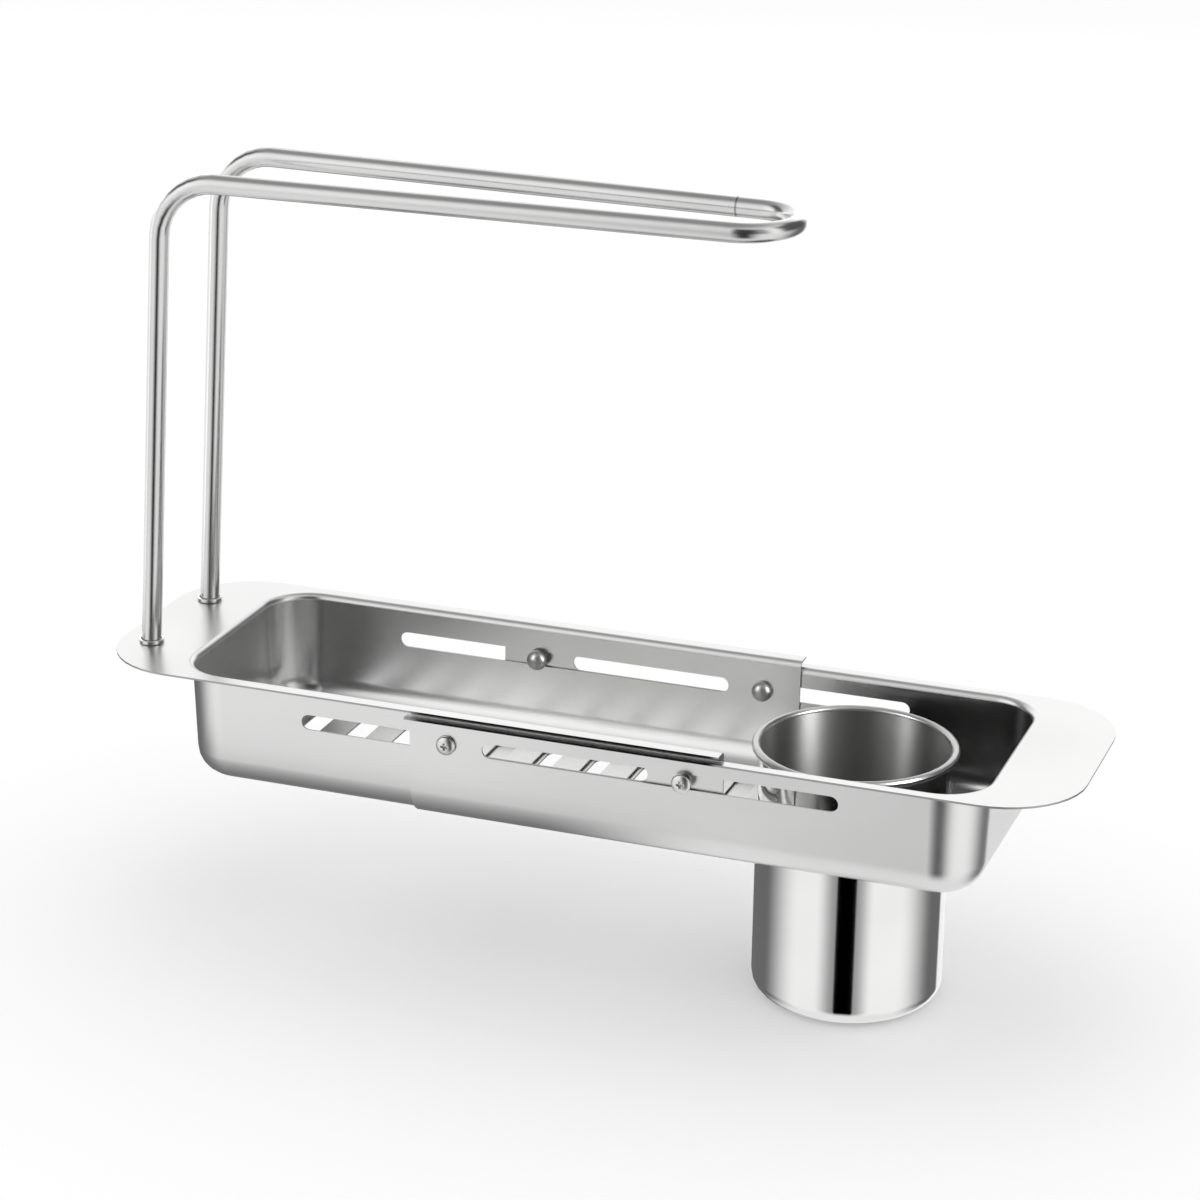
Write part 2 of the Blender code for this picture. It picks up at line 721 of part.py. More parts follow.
def make_post_feet(fastener, collar):
    """Collars, plugs, screws and washers of both posts."""
    for label, sign in (("front", -1.0), ("back", 1.0)):
        make_post_ring("post_ring_" + label, sign, collar)
        make_post_plug("post_plug_" + label, sign, fastener)
        make_post_screw("post_screw_" + label, sign, fastener)
        make_post_washer("post_washer_" + label, sign, fastener)


def make_slide_fasteners(material, slide):
    """Screw and cap nut at each of the four crossings of wall and slot."""
    for label, front in (("front", True), ("back", False)):
        left = (LEFT_SCREW_X, front, FIT_GAP, material, slide)
        right = (RIGHT_SCREW_X, front, FIT_GAP + SCREW_STAND, material, None)
        make_slide_screw("slide_screw_left_" + label, *left)
        make_cap_nut("cap_nut_left_" + label, *left)
        make_slide_screw("slide_screw_right_" + label, *right)
        make_cap_nut("cap_nut_right_" + label, *right)


def main():
    for obj in list(bpy.data.objects):
        bpy.data.objects.remove(obj)
    tray_steel = new_material("tray_steel", (0.72, 0.72, 0.71), 0.32)
    cup_steel = new_material("cup_steel", (0.78, 0.78, 0.77), 0.12)
    bar_steel = new_material("bar_steel", (0.74, 0.74, 0.73), 0.24)
    fastener_steel = new_material("fastener_steel", (0.70, 0.70, 0.69), 0.28)
    slide = new_empty("right_tray_slide", Vector((LEFT_SCREW_X, 0.0, GUIDE_LEVEL)))
    lift = new_empty("cup_lift", Vector((CUP_X, 0.0, RIGHT_FLOOR)), slide)
    make_left_tray(tray_steel)
    make_right_tray(tray_steel, slide)
    make_cup(cup_steel, lift)
    make_towel_bar(bar_steel)
    make_post_feet(fastener_steel, bar_steel)
    make_slide_fasteners(fastener_steel, slide)
    bpy.context.view_layer.update()


main()
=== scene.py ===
"""Looks of the telescoping sink drainer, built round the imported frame. Metres, +Z up."""

import json
import math

import bmesh
import bpy
from mathutils import Matrix, Vector

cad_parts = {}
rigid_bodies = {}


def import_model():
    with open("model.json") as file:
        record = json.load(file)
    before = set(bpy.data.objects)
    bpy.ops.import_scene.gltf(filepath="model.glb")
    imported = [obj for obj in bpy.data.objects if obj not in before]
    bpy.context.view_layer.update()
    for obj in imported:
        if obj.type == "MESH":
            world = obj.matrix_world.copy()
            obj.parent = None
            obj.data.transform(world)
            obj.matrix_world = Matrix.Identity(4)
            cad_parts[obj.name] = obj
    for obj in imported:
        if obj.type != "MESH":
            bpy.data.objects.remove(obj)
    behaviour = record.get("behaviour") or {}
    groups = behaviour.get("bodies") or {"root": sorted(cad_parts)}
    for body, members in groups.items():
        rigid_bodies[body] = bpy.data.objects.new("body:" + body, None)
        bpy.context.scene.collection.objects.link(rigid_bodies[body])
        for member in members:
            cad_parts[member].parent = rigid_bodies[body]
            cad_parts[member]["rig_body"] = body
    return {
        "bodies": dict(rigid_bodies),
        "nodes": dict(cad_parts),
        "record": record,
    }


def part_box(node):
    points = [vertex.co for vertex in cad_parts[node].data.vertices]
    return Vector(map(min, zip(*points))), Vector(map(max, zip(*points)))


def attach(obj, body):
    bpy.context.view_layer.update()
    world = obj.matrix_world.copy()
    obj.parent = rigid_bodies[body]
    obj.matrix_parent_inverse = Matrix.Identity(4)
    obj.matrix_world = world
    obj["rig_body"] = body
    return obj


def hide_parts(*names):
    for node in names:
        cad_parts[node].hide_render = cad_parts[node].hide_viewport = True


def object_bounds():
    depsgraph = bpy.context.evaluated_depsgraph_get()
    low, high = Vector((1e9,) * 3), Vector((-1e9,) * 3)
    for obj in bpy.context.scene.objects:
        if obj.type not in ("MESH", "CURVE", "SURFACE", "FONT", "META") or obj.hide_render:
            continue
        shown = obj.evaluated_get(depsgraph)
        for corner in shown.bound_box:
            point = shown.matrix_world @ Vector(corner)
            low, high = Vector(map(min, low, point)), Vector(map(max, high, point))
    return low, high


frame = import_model()
CAD_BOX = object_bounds()

# Corners of the large pieces, lowest and highest
LEFT_LOW, LEFT_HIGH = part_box("left_tray")
RIGHT_LOW, RIGHT_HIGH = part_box("right_tray")
CUP_LOW, CUP_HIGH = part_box("cup")
BAR_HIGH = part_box("towel_bar")[1]

# Camera, as fitted to the photograph
CAMERA_PLACE = Vector((0.6154, -1.2014, 0.5015))
CAMERA_AZIMUTH = math.radians(19.725)
CAMERA_ELEVATION = math.radians(20.069)
CAMERA_ROLL = math.radians(-0.835)
CAMERA_LENS = 103.2
CAMERA_SENSOR = 36.0
CAMERA_NEAR = 0.01
CAMERA_FAR = 50.0

# Welding, smoothing and edge rounding of the dressed pieces
WELD = 1e-6
FLAT_ANGLE = math.radians(0.4)
CREASE_ANGLE = math.radians(32.0)
SHEET_EDGE_ROUND = 0.00016
SMALL_EDGE_ROUND = 0.00012
EDGE_SEGMENTS = 2
FLAT_FACE_WEIGHT = 80

# Places of the finishes in the material lists of the trays and the cup
SHEET_FACE, CUT_EDGE, FLANGE_EDGE, TRAY_INSIDE = range(4)
CUP_INSIDE, CUP_RIM = range(1, 3)

# How far a face has to turn towards a direction to count as facing it or as leaning that way
FACING_SHARE = 0.9
LEANING_SHARE = 0.5

# Cut edges of the sheet: thin faces between two sharp edges
CUT_ANGLE = math.radians(60.0)
CUT_WIDTH = 0.0009
CUT_SHARE = 0.55

# Depths under the flange's top and heights in the cup where the finishes change
FLANGE_ZONE = 0.004
BEND_ZONE = 0.0026
FLOOR_ZONE = 4 * BEND_ZONE
CUP_FLOOR_ZONE = 0.01
CUP_RIM_ZONE = 0.002

# Patterns in the steel, per metre along X, Y and Z: fine grain, streaks and clouds
SHEET_GRAIN = ((90.0, 2600.0, 2600.0), (14.0, 420.0, 420.0), (9.0, 9.0, 14.0))
EDGE_GRAIN = ((2600.0, 2600.0, 2600.0), (500.0, 500.0, 500.0), (40.0, 40.0, 40.0))
CUP_GRAIN = ((60.0, 60.0, 2200.0), (8.0, 8.0, 300.0), (14.0, 14.0, 20.0))
CUP_INSIDE_GRAIN = ((120.0, 120.0, 3000.0), (12.0, 12.0, 500.0), (14.0, 14.0, 20.0))
CUP_RIM_GRAIN = ((900.0, 900.0, 900.0), (60.0, 60.0, 60.0), (14.0, 14.0, 20.0))
BAR_GRAIN = ((2200.0, 2200.0, 2200.0), (260.0, 260.0, 260.0), (12.0, 12.0, 12.0))
FASTENER_GRAIN = ((1500.0, 1500.0, 1500.0), (300.0, 300.0, 300.0), (60.0, 60.0, 60.0))
GRAIN_DETAILS = (2.0, 3.0, 2.0)
NOISE_ROUGHNESS = 0.55
GRAIN_SHARE = 0.5
GRAIN_RANGE = (0.25, 0.75)
CLOUD_RANGE = (0.3, 0.7)
CLOUD_SHARE = 0.94
BLUE_LOSS = 0.005

# Height of the grain in the bump
FINE_BUMP = 2e-7
FASTENER_BUMP = 4e-7
NUT_BUMP = 8e-7
EDGE_BUMP = 2e-6

# Turned finish: direction of its streaks round the axis, as a share of a turn
TURNED_ROTATION = 0.25

# Seam across the back rail, measured from the bar's round end
SEAM_INSET = 0.0333
SEAM_HALF_WIDTH = 0.0003
SEAM_TONE = 0.36

# Painted shade on the trays' insides: levels of their tone, darker towards the closed ends and a
# little lighter between, and where they change, measured from the wings' ends
LEFT_END_PAINTED_SHADE = 0.62
MIDDLE_PAINTED_LEVEL = 1.07
RIGHT_END_PAINTED_SHADE = 0.33
LEFT_SHADE_CHANGE = (0.0135, 0.1235)
RIGHT_SHADE_CHANGE = (0.1528, 0.0878)

# Painted shade on the flange edges and undersides where the trays overlap
OVERLAP_PAINTED_SHADE = 0.03
OVERLAP_FADE = 0.008

# Floor
FLOOR_GAP = 0.0004
FLOOR_REACH = 9.0
FLOOR_TONE = 0.97
FLOOR_ROUGHNESS = 0.9

# Painted shade: soft dark strips under the trays' lower edges, seen only in reflections, standing in
# for the shade under the trays
FLAG_DROP = 0.005
FLAG_TUCK = 0.0185
FLAG_SOLID = 0.006
FLAG_REACH = 0.0325
FLAG_END_INSET = 0.0036
FLAG_FADE_LENGTH = 0.08
FLAG_PAINTED_SHADE = 0.2
FLAG_INNER = LEFT_HIGH.y - FLAG_TUCK
FLAG_OUTER = LEFT_HIGH.y + FLAG_REACH
FLAG_END = LEFT_HIGH.x - FLAG_END_INSET

# Studio dome: levels by turn from the camera's side, in degrees to the right, low and high up
LOWER_RING = (
    (-124.0, 0.15), (-66.0, 0.98), (-44.5, 0.98), (-20.3, 0.34), (-18.3, 0.0), (2.7, 0.0),
    (4.7, 0.38), (26.0, 1.0), (58.0, 1.0), (114.0, 0.15), (132.0, 0.15), (139.0, 1.0),
)
UPPER_RING = (
    (-126.0, 1.0), (-110.0, 0.08), (-92.0, 0.08), (-76.0, 1.25), (-64.0, 1.25), (-50.0, 1.08),
    (-36.0, 1.08), (-24.0, 0.02), (4.0, 0.02), (32.0, 0.4), (50.0, 1.2), (60.0, 1.2),
    (76.0, 0.08), (132.0, 0.08), (150.0, 1.0),
)

# Changes between the dome's zones, by the Z of the direction
RING_CHANGE = (-0.1, 0.12)
GROUND_CHANGE = (-0.9, -0.6)
GROUND_LEVEL = 0.9
SKY_CHANGE = (0.72, 0.86)
SKY_LEVEL = 1.0

# Soft dark patch overhead: its direction, the level in its middle and the angles where it fades
PATCH_DIRECTION = (-0.25, 0.08, 0.965)
PATCH_LEVEL = 0.3
PATCH_FADE = (math.radians(12.0), math.radians(60.0))

# Soft panels: name, place from the object's middle, width and height, power, shown in reflections
PANELS = (
    ("top_panel", (-0.2, -0.1, 1.6), (1.8, 1.4), 2.0, False),
    ("back_panel", (-0.5, 1.7, 0.75), (2.4, 0.9), 1.35, True),
)

# Lamps that only some pieces see: name, turn in degrees from the camera's side, width and power
CUP_STRIPS = (("strip_right", 56.0, 0.24, 5.2), ("strip_left", -69.0, 0.16, 1.7))
CUP_STRIP_RISE = 0.42
CUP_STRIP_REACH = 0.8
CUP_STRIP_HEIGHT = 0.6
BAR_PANELS = (("bar_panel_left", -130.0, 0.6, 0.7), ("bar_panel_right", 118.0, 0.3, 0.16))
BAR_PANEL_RISE = 0.0
BAR_PANEL_REACH = 0.3
BAR_PANEL_HEIGHT = 0.41


def remove_start_objects():
    """Clear what an empty file holds, so that only the frame is left."""
    kept = set(frame["nodes"].values()) | set(frame["bodies"].values())
    for obj in list(bpy.data.objects):
        if obj not in kept:
            bpy.data.objects.remove(obj)


class Nodes:
    """Short way to add and link shader nodes of one tree."""

    def __init__(self, tree):
        self.tree = tree
        for node in list(tree.nodes):
            tree.nodes.remove(node)

    def add(self, kind, values=None, **settings):
        """New node with its settings, and its inputs linked or set."""
        node = self.tree.nodes.new(kind)
        for key, value in settings.items():
            setattr(node, key, value)
        for key, value in (values or {}).items():
            if isinstance(value, bpy.types.NodeSocket):
                self.tree.links.new(value, node.inputs[key])
            else:
                node.inputs[key].default_value = value
        return node

    def math(self, operation, *terms):
        """Result of one operation on numbers or outputs."""
        return self.add("ShaderNodeMath", dict(enumerate(terms)), operation=operation).outputs[0]

    def ramp(self, value, start, end, low, high, kind="SMOOTHSTEP"):
        """Low before the start, high after the end and a rise between them."""
        values = {0: value, 1: start, 2: end, 3: low, 4: high}
        return self.add("ShaderNodeMapRange", values, interpolation_type=kind).outputs[0]

    def steps(self, value, points):
        """Sum of smooth steps through (value, level) points."""
        total = points[0][1]
        for (start, low), (end, high) in zip(points, points[1:]):
            if low != high:
                total = self.math("ADD", self.ramp(value, start, end, 0.0, high - low), total)
        return total

    def mix(self, kind, factor, first, second):
        """Blend of two numbers or colours."""
        values = {"Factor": factor, "A": first, "B": second}
        return self.add("ShaderNodeMix", values, data_type=kind).outputs["Result"]

    def place(self):
        """Place on the piece, in its own frame."""
        return self.add("ShaderNodeTexCoord").outputs["Object"]

    def split(self, vector):
        """X, Y and Z of a vector."""
        return self.add("ShaderNodeSeparateXYZ", {"Vector": vector}).outputs

    def noise(self, scale, detail):
        """Noise with its own scale along each axis of the piece."""
        place = self.add("ShaderNodeMapping", {"Vector": self.place(), "Scale": scale}).outputs[0]
        values = {"Vector": place, "Scale": 1.0, "Detail": detail, "Roughness": NOISE_ROUGHNESS}
        return self.add("ShaderNodeTexNoise", values).outputs["Fac"]


def grey(tone):
    """Colour of one even tone."""
    return (tone, tone, tone, 1.0)


def steel(name, tone, grain, rough, spread, bump, turned=0.0, seam=False, shaded=None):
    """Stainless steel: fine grain and longer streaks in roughness and bump, faint clouds in tone."""
    material = bpy.data.materials.new(name)
    material.use_nodes = True
    nodes = Nodes(material.node_tree)
    fine, streaks, clouds = (nodes.noise(*pair) for pair in zip(grain, GRAIN_DETAILS))
    streaks = nodes.math("MULTIPLY", streaks, 1.0 - GRAIN_SHARE)
    mixed = nodes.math("MULTIPLY_ADD", fine, GRAIN_SHARE, streaks)
    level = nodes.ramp(mixed, *GRAIN_RANGE, rough - spread, rough + spread, "LINEAR")
    relief = nodes.add("ShaderNodeBump", {"Height": mixed, "Distance": bump, "Strength": 1.0})
    shade = cloudy_tone(nodes, tone, clouds)
    if seam:
        shade = with_seam(nodes, shade)
    # Painted shade: the colour scaled along X by the given levels
    if shaded:
        shade = with_painted_shade(nodes, shade, shaded)
    shader = nodes.add("ShaderNodeBsdfPrincipled", {
        "Base Color": shade,
        "Metallic": 1.0,
        "Roughness": nodes.math("MULTIPLY_ADD", clouds, spread, level),
        "Normal": relief.outputs[0],
    })
    if turned:
        around = nodes.add("ShaderNodeTangent", direction_type="RADIAL", axis="Z")
        nodes.tree.links.new(around.outputs[0], shader.inputs["Tangent"])
        shader.inputs["Anisotropic"].default_value = turned
        shader.inputs["Anisotropic Rotation"].default_value = TURNED_ROTATION
    nodes.add("ShaderNodeOutputMaterial", {"Surface": shader.outputs[0]})
    return material


def cloudy_tone(nodes, tone, clouds):
    """Steel's colour, a little darker where the clouds are low."""
    light = (tone, tone, tone - BLUE_LOSS)
    dark = tuple(CLOUD_SHARE * part for part in light)
    return nodes.mix("RGBA", nodes.ramp(clouds, *CLOUD_RANGE, 0.0, 1.0), (*dark, 1.0), (*light, 1.0))


def with_seam(nodes, shade):
    """Fine dark joint line across the back rail."""
    x, y, _ = nodes.split(nodes.place())
    apart = nodes.math("ABSOLUTE", nodes.math("SUBTRACT", x, BAR_HIGH.x - SEAM_INSET))
    line = nodes.ramp(apart, SEAM_HALF_WIDTH, 2 * SEAM_HALF_WIDTH, 1.0, 0.0)
    line = nodes.math("MULTIPLY", line, nodes.math("GREATER_THAN", y, 0.0))
    return nodes.mix("RGBA", line, shade, grey(SEAM_TONE))


def with_painted_shade(nodes, shade, points):
    """Painted shade: tone that changes along X, for places between the two sheets and deep in the
    trays.
    """
    level = nodes.steps(nodes.split(nodes.place())[0], points)
    return nodes.add("ShaderNodeVectorMath", {0: shade, "Scale": level}, operation="SCALE").outputs[0]


def make_tray_outside():
    """Satin brushed sheet."""
    return steel("tray_satin", tone=0.84, grain=SHEET_GRAIN, rough=0.29, spread=0.02, bump=FINE_BUMP)


def make_tray_inside():
    """Smoother mill finish, with painted shade that darkens it towards the closed ends."""
    points = (
        (LEFT_LOW.x + LEFT_SHADE_CHANGE[0], LEFT_END_PAINTED_SHADE),
        (LEFT_LOW.x + LEFT_SHADE_CHANGE[1], MIDDLE_PAINTED_LEVEL),
        (RIGHT_HIGH.x - RIGHT_SHADE_CHANGE[0], MIDDLE_PAINTED_LEVEL),
        (RIGHT_HIGH.x - RIGHT_SHADE_CHANGE[1], RIGHT_END_PAINTED_SHADE),
    )
    return steel(
        "tray_mill_inside_painted_shade", tone=0.88, grain=SHEET_GRAIN, rough=0.24, spread=0.02, bump=FINE_BUMP,
        shaded=points,
    )


def make_flange_edge():
    """Dull edge of the flange, with painted shade where the other tray's flange lies close by."""
    points = (
        (RIGHT_LOW.x, 1.0), (RIGHT_LOW.x + OVERLAP_FADE, OVERLAP_PAINTED_SHADE),
        (LEFT_HIGH.x - OVERLAP_FADE / 2, OVERLAP_PAINTED_SHADE), (LEFT_HIGH.x, 1.0),
    )
    return steel(
        "flange_cut_edge_painted_shade", tone=0.5, grain=EDGE_GRAIN, rough=0.45, spread=0.06, bump=EDGE_BUMP,
        shaded=points,
    )


def make_cut_edge():
    """Dull edge of the cut sheet."""
    return steel("sheet_cut_edge", tone=0.5, grain=EDGE_GRAIN, rough=0.45, spread=0.06, bump=EDGE_BUMP)


def make_cup_outside():
    """Mirror polish."""
    return steel("cup_polished", tone=0.88, grain=CUP_GRAIN, rough=0.07, spread=0.015, bump=FINE_BUMP)


def make_cup_inside():
    """Satin turned round the cup's axis, in a darker tone that is painted shade inside the cup."""
    return steel(
        "cup_satin_inside_painted_shade", tone=0.45, grain=CUP_INSIDE_GRAIN, rough=0.42, spread=0.03, bump=FINE_BUMP,
        turned=0.9,
    )


def make_cup_rim():
    """Rolled rim, rougher than the wall, in a darker tone that is painted shade."""
    return steel(
        "cup_rolled_rim", tone=0.6, grain=CUP_RIM_GRAIN, rough=0.28, spread=0.02, bump=FINE_BUMP,
    )


def make_bar():
    """Satin tube with a seam."""
    return steel(
        "bar_satin", tone=0.74, grain=BAR_GRAIN, rough=0.22, spread=0.02, bump=FINE_BUMP, seam=True,
    )


def make_fastener():
    """Bright screws and washers."""
    return steel(
        "fastener_bright", tone=0.8, grain=FASTENER_GRAIN, rough=0.27, spread=0.04, bump=FASTENER_BUMP,
    )


def make_cap_nut():
    """Satin nuts, in a darker tone that is painted shade."""
    return steel(
        "cap_nut_satin", tone=0.4, grain=FASTENER_GRAIN, rough=0.36, spread=0.05, bump=NUT_BUMP,
    )


def make_materials():
    """One finish for each material slot of the record, and finishes for single places."""
    return {
        "tray_steel": make_tray_outside(),
        "tray_inside": make_tray_inside(),
        "flange_edge": make_flange_edge(),
        "cut_edge": make_cut_edge(),
        "cup_steel": make_cup_outside(),
        "cup_inside": make_cup_inside(),
        "cup_rim": make_cup_rim(),
        "bar_steel": make_bar(),
        "fastener_steel": make_fastener(),
        "nut_steel": make_cap_nut(),
    }


def is_cut_edge(face):
    """True for a thin face across the sheet's thickness."""
    sides = sum(edge.calc_length() for edge in face.edges)
    sharp = sum(edge.calc_length() for edge in face.edges if edge.calc_face_angle(0.0) > CUT_ANGLE)
    return face.calc_area() < CUT_WIDTH * sides / 2 and sharp > CUT_SHARE * sides


def edge_index(face):
    """Tell a sheet's face from a cut edge and from the flange's cut edge and underside."""
    high_up = face.calc_center_median().z > -FLANGE_ZONE
    # The flange's underside takes the flange edge's finish, whose painted shade darkens the gap where
    # the trays overlap
    if high_up and face.normal.z < -FACING_SHARE:
        return FLANGE_EDGE
    if not is_cut_edge(face):
        return SHEET_FACE
    return FLANGE_EDGE if high_up and abs(face.normal.y) > FACING_SHARE else CUT_EDGE


def welded_mesh(node, name):
    """Copy of a node's mesh, welded, with its flat faces joined and its cut edges marked."""
    bm = bmesh.new()
    bm.from_mesh(node.data)
    bmesh.ops.remove_doubles(bm, verts=bm.verts, dist=WELD)
    bmesh.ops.dissolve_limit(
        bm, angle_limit=FLAT_ANGLE, use_dissolve_boundaries=False, verts=bm.verts, edges=bm.edges
    )
    for face in bm.faces:
        face.material_index = edge_index(face)
    mesh = bpy.data.meshes.new(name)
    bm.to_mesh(mesh)
    bm.free()
    mesh.shade_smooth()
    mesh.set_sharp_from_angle(angle=CREASE_ANGLE)
    return mesh


def round_edges(obj, width):
    """Finely rounded edges, with flat faces kept flat."""
    bevel = obj.modifiers.new("edge_round", "BEVEL")
    bevel.width = width
    bevel.segments = EDGE_SEGMENTS
    bevel.limit_method = "ANGLE"
    bevel.angle_limit = CREASE_ANGLE
    bevel.use_clamp_overlap = True
    bevel.harden_normals = False
    normal = obj.modifiers.new("flat_faces_stay_flat", "WEIGHTED_NORMAL")
    normal.keep_sharp = False
    normal.weight = FLAT_FACE_WEIGHT


def dressed_copy(node_name, width):
    """Finished copy of a CAD node that takes its place and moves with its body."""
    node = frame["nodes"][node_name]
    name = "look_" + node_name
    obj = bpy.data.objects.new(name, welded_mesh(node, name))
    bpy.context.scene.collection.objects.link(obj)
    round_edges(obj, width)
    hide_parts(node_name)
    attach(obj, node["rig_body"])
    return obj


def dress_nodes(materials):
    """Every CAD node as a finished piece in its slot's material."""
    slots = {part["node"]: part["material_slot"] for part in frame["record"]["subparts"]}
    for name, slot in slots.items():
        wide = slot in ("tray_steel", "cup_steel")
        obj = dressed_copy(name, SHEET_EDGE_ROUND if wide else SMALL_EDGE_ROUND)
        obj.data.materials.append(materials["nut_steel" if name.startswith("cap_nut") else slot])
        if slot == "tray_steel":
            give_tray_finishes(obj, name, materials)
        else:
            obj.data.polygons.foreach_set("material_index", [0] * len(obj.data.polygons))
        if name == "cup":
            give_cup_finishes(obj, materials)


def give_tray_finishes(obj, name, materials):
    """Dull cut edges, and the mill finish with its painted shade on the faces that look into the tray
    below the bend.
    """
    low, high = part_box(name)
    middle = (low.x + high.x) / 2
    for key in ("cut_edge", "flange_edge", "tray_inside"):
        obj.data.materials.append(materials[key])
    for face in obj.data.polygons:
        inward = Vector((middle - face.center.x, -face.center.y, 0.0))
        if abs(face.center.y) < abs(face.normal.y) * high.y:
            inward.x = 0.0
        floor = face.normal.z > LEANING_SHARE and face.center.z < high.z - FLOOR_ZONE
        wall = face.normal.dot(inward) > 0.0 and face.center.z < high.z - BEND_ZONE
        if face.material_index == SHEET_FACE and (wall or floor):
            face.material_index = TRAY_INSIDE


def give_cup_finishes(obj, materials):
    """Satin finish with painted shade on the faces that look at the cup's axis, and a rougher rolled
    rim with painted shade.
    """
    axis = (CUP_LOW + CUP_HIGH) / 2
    for key in ("cup_inside", "cup_rim"):
        obj.data.materials.append(materials[key])
    for face in obj.data.polygons:
        away = face.center - axis
        away.z = 0.0
        floor_inside = face.normal.z > LEANING_SHARE and face.center.z < CUP_LOW.z + CUP_FLOOR_ZONE
        if face.center.z > CUP_HIGH.z - CUP_RIM_ZONE:
            face.material_index = CUP_RIM
        elif face.normal.dot(away) < 0.0 or floor_inside:
            face.material_index = CUP_INSIDE


def make_plate(name, low, high, level, material):
    """Flat staged rectangle between two corners."""
    mesh = bpy.data.meshes.new(name)
    corners = [
        (low[0], low[1], level), (high[0], low[1], level),
        (high[0], high[1], level), (low[0], high[1], level),
    ]
    mesh.from_pydata(corners, [], [(0, 1, 2, 3)])
    mesh.materials.append(material)
    plate = bpy.data.objects.new(name, mesh)
    bpy.context.scene.collection.objects.link(plate)
    return plate


def make_floor():
    """Pale floor just under the cup."""
    material = bpy.data.materials.new("floor_pale")
    material.use_nodes = True
    shader = material.node_tree.nodes["Principled BSDF"]
    shader.inputs["Base Color"].default_value = grey(FLOOR_TONE)
    shader.inputs["Roughness"].default_value = FLOOR_ROUGHNESS
    shader.inputs["Specular IOR Level"].default_value = 0.0
    corner = Vector((FLOOR_REACH, FLOOR_REACH))
    floor = make_plate("floor", -corner, corner, CAD_BOX[0].z - FLOOR_GAP, material)
    floor.visible_glossy = False


def make_flag_material():
    """Dark card of painted shade that fades out away from the trays and towards the cup."""
    material = bpy.data.materials.new("flag_painted_shade")
    material.use_nodes = True
    nodes = Nodes(material.node_tree)
    x, y, _ = nodes.split(nodes.place())
    side = nodes.math("ABSOLUTE", y)
    away = nodes.ramp(side, FLAG_INNER + FLAG_SOLID, FLAG_OUTER, 1.0, 0.0, "LINEAR")
    along = nodes.ramp(x, FLAG_END - FLAG_FADE_LENGTH, FLAG_END, 1.0, 0.0)
    clear = nodes.add("ShaderNodeBsdfTransparent").outputs[0]
    dark = nodes.add("ShaderNodeEmission", {"Color": grey(1.0), "Strength": FLAG_PAINTED_SHADE})
    share = nodes.math("MULTIPLY", away, along)
    mixed = nodes.add("ShaderNodeMixShader", {0: share, 1: clear, 2: dark.outputs[0]}).outputs[0]
    nodes.add("ShaderNodeOutputMaterial", {"Surface": mixed})
    return material


def make_under_flags():
    """A soft strip of painted shade along each long side, just below the trays."""
    level = LEFT_LOW.z - FLAG_DROP
    material = make_flag_material()
    for name, sign in (("front", -1.0), ("back", 1.0)):
        near = (LEFT_LOW.x, sign * FLAG_INNER)
        far = (FLAG_END, sign * FLAG_OUTER)
        flag = make_plate("painted_shade_flag_" + name, near, far, level, material)
        flag.visible_camera = False
        flag.visible_diffuse = False
        flag.visible_shadow = False


def dome_level(nodes, direction):
    """Level of the dome by turn and height, between plain ground and plain sky."""
    x, y, z = nodes.split(direction)
    angle = nodes.math("ARCTAN2", x, nodes.math("MULTIPLY", y, -1.0))
    turn = nodes.math("WRAP", nodes.math("SUBTRACT", angle, CAMERA_AZIMUTH), math.pi, -math.pi)
    turn = nodes.math("DEGREES", turn)
    lower = nodes.steps(turn, LOWER_RING)
    upper = nodes.steps(turn, UPPER_RING)
    level = nodes.mix("FLOAT", nodes.ramp(z, *RING_CHANGE, 0.0, 1.0), lower, upper)
    level = nodes.mix("FLOAT", nodes.ramp(z, *GROUND_CHANGE, 0.0, 1.0), GROUND_LEVEL, level)
    return nodes.mix("FLOAT", nodes.ramp(z, *SKY_CHANGE, 0.0, 1.0), level, SKY_LEVEL)


def patch_level(nodes, direction):
    """Dimming of the dome round the dark patch overhead."""
    values = {0: direction, 1: PATCH_DIRECTION}
    cosine = nodes.add("ShaderNodeVectorMath", values, operation="DOT_PRODUCT").outputs["Value"]
    return nodes.ramp(nodes.math("ARCCOSINE", cosine), *PATCH_FADE, PATCH_LEVEL, 1.0)


def make_world():
    """Pale studio dome: white to the camera, shaded by height and side for reflections."""
    world = bpy.data.worlds.new("studio")
    bpy.context.scene.world = world
    world.use_nodes = True
    nodes = Nodes(world.node_tree)
    direction = nodes.add("ShaderNodeTexCoord").outputs["Generated"]
    shaded = nodes.math("MULTIPLY", dome_level(nodes, direction), patch_level(nodes, direction))
    path = nodes.add("ShaderNodeLightPath").outputs
    strength = nodes.mix("FLOAT", path["Is Glossy Ray"], 1.0, shaded)
    strength = nodes.math("MAXIMUM", strength, path["Is Camera Ray"])
    background = nodes.add("ShaderNodeBackground", {"Color": grey(1.0), "Strength": strength})
    nodes.add("ShaderNodeOutputWorld", {"Surface": background.outputs[0]})


def make_lamp(name, place, target, size, power, in_reflections=True):
    """Rectangular soft lamp aimed at a point."""
    data = bpy.data.lights.new(name, "AREA")
    data.shape = "RECTANGLE"
    data.size, data.size_y = size
    data.energy = power
    lamp = bpy.data.objects.new(name, data)
    bpy.context.scene.collection.objects.link(lamp)
    lamp.location = place
    lamp.rotation_mode = "QUATERNION"
    lamp.rotation_quaternion = (target - place).to_track_quat("-Z", "Y")
    lamp.visible_glossy = in_reflections
    return lamp


def make_panels():
    """Soft panels above and behind."""
    center = (CAD_BOX[0] + CAD_BOX[1]) / 2
    for name, place, size, power, in_reflections in PANELS:
        make_lamp(name, center + Vector(place), center, size, power, in_reflections)


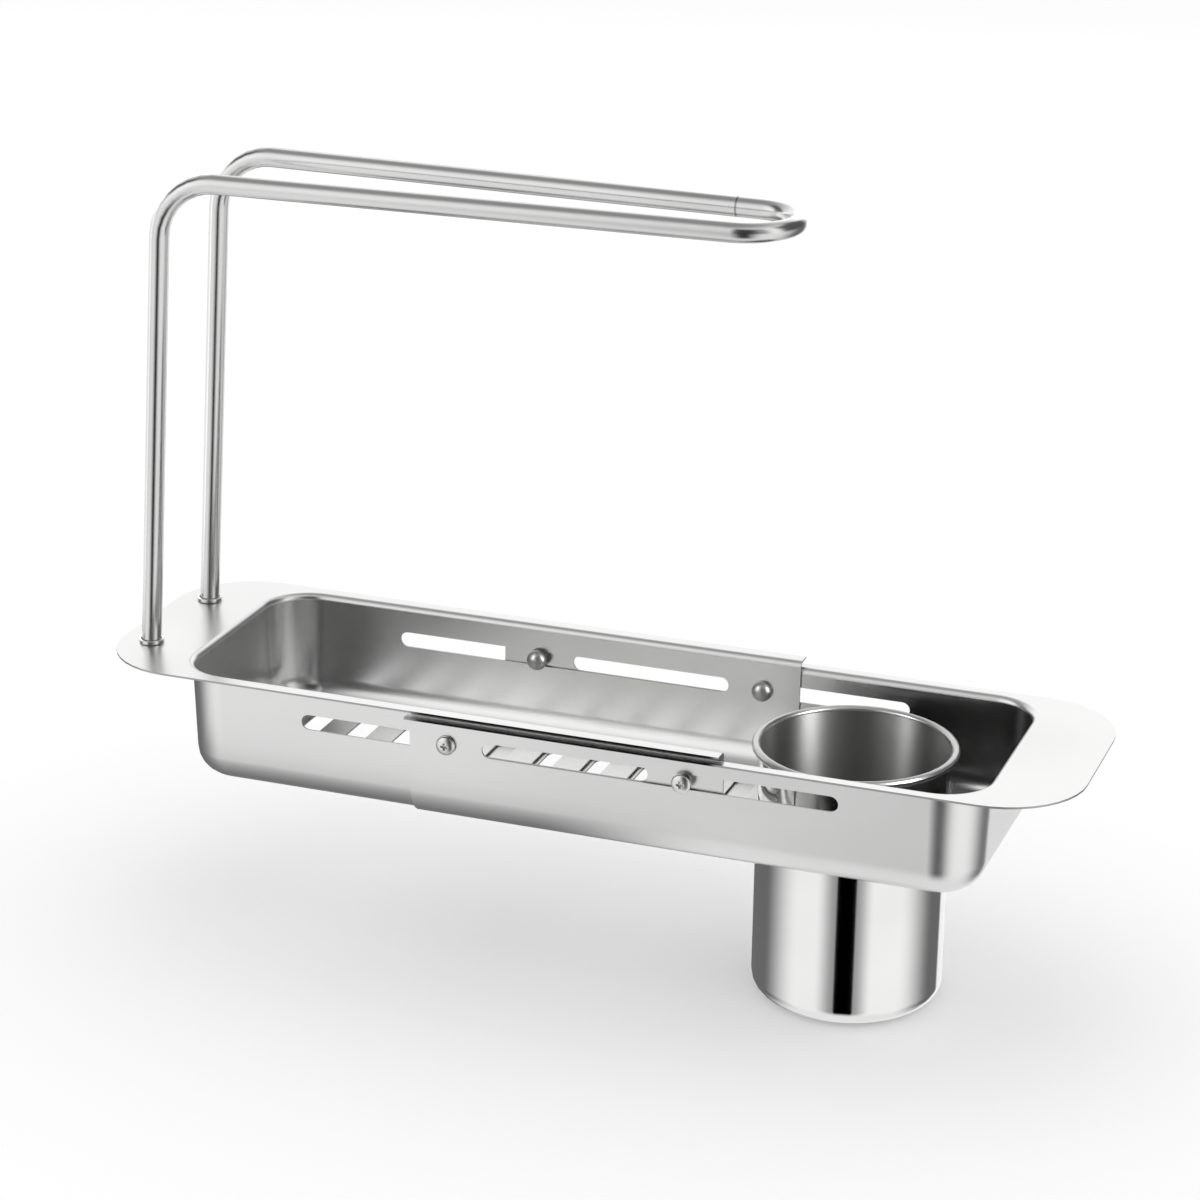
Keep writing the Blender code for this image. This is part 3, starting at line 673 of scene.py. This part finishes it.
def make_linked_lamps(group, starts, aim, lamps, rise, reach, height):
    """Lamps round a point that light only the pieces whose names start in the given ways."""
    lit = bpy.data.collections.new("lit_by_" + group)
    for name in frame["nodes"]:
        if name.startswith(starts):
            lit.objects.link(bpy.data.objects["look_" + name])
    across = math.sqrt(1.0 - rise ** 2)
    for name, turn, width, power in lamps:
        angle = math.radians(turn) + CAMERA_AZIMUTH
        way = Vector((across * math.sin(angle), -across * math.cos(angle), rise))
        lamp = make_lamp(name, aim + reach * way, aim, (width, height), power)
        lamp.light_linking.receiver_collection = lit
        lamp.visible_camera = False


def make_cup_strips():
    """Upright strip lights for the bands in the cup and the shine of the cap nuts."""
    mouth = Vector(((CUP_LOW.x + CUP_HIGH.x) / 2, 0.0, CUP_HIGH.z))
    make_linked_lamps(
        "cup_strips", ("cup", "cap_nut"), mouth, CUP_STRIPS,
        CUP_STRIP_RISE, CUP_STRIP_REACH, CUP_STRIP_HEIGHT,
    )


def make_bar_panels():
    """Panels for the pale sides of the towel bar's posts."""
    posts = Vector((0.0, 0.0, BAR_HIGH.z / 2))
    make_linked_lamps(
        "bar_panels", ("towel_bar", "post_ring"), posts, BAR_PANELS,
        BAR_PANEL_RISE, BAR_PANEL_REACH, BAR_PANEL_HEIGHT,
    )


def make_camera():
    """Camera at the photograph's view."""
    data = bpy.data.cameras.new("camera")
    data.lens = CAMERA_LENS
    data.sensor_width = CAMERA_SENSOR
    data.clip_start = CAMERA_NEAR
    data.clip_end = CAMERA_FAR
    camera = bpy.data.objects.new("camera", data)
    bpy.context.scene.collection.objects.link(camera)
    turn = Matrix.Rotation(CAMERA_AZIMUTH, 4, "Z")
    tilt = Matrix.Rotation(math.pi / 2 - CAMERA_ELEVATION, 4, "X")
    roll = Matrix.Rotation(-CAMERA_ROLL, 4, "Z")
    camera.matrix_world = Matrix.Translation(CAMERA_PLACE) @ turn @ tilt @ roll
    bpy.context.scene.camera = camera


remove_start_objects()
dress_nodes(make_materials())
make_floor()
make_under_flags()
make_world()
make_panels()
make_cup_strips()
make_bar_panels()
make_camera()
bpy.context.scene.view_settings.view_transform = "Standard"
bpy.context.view_layer.update()
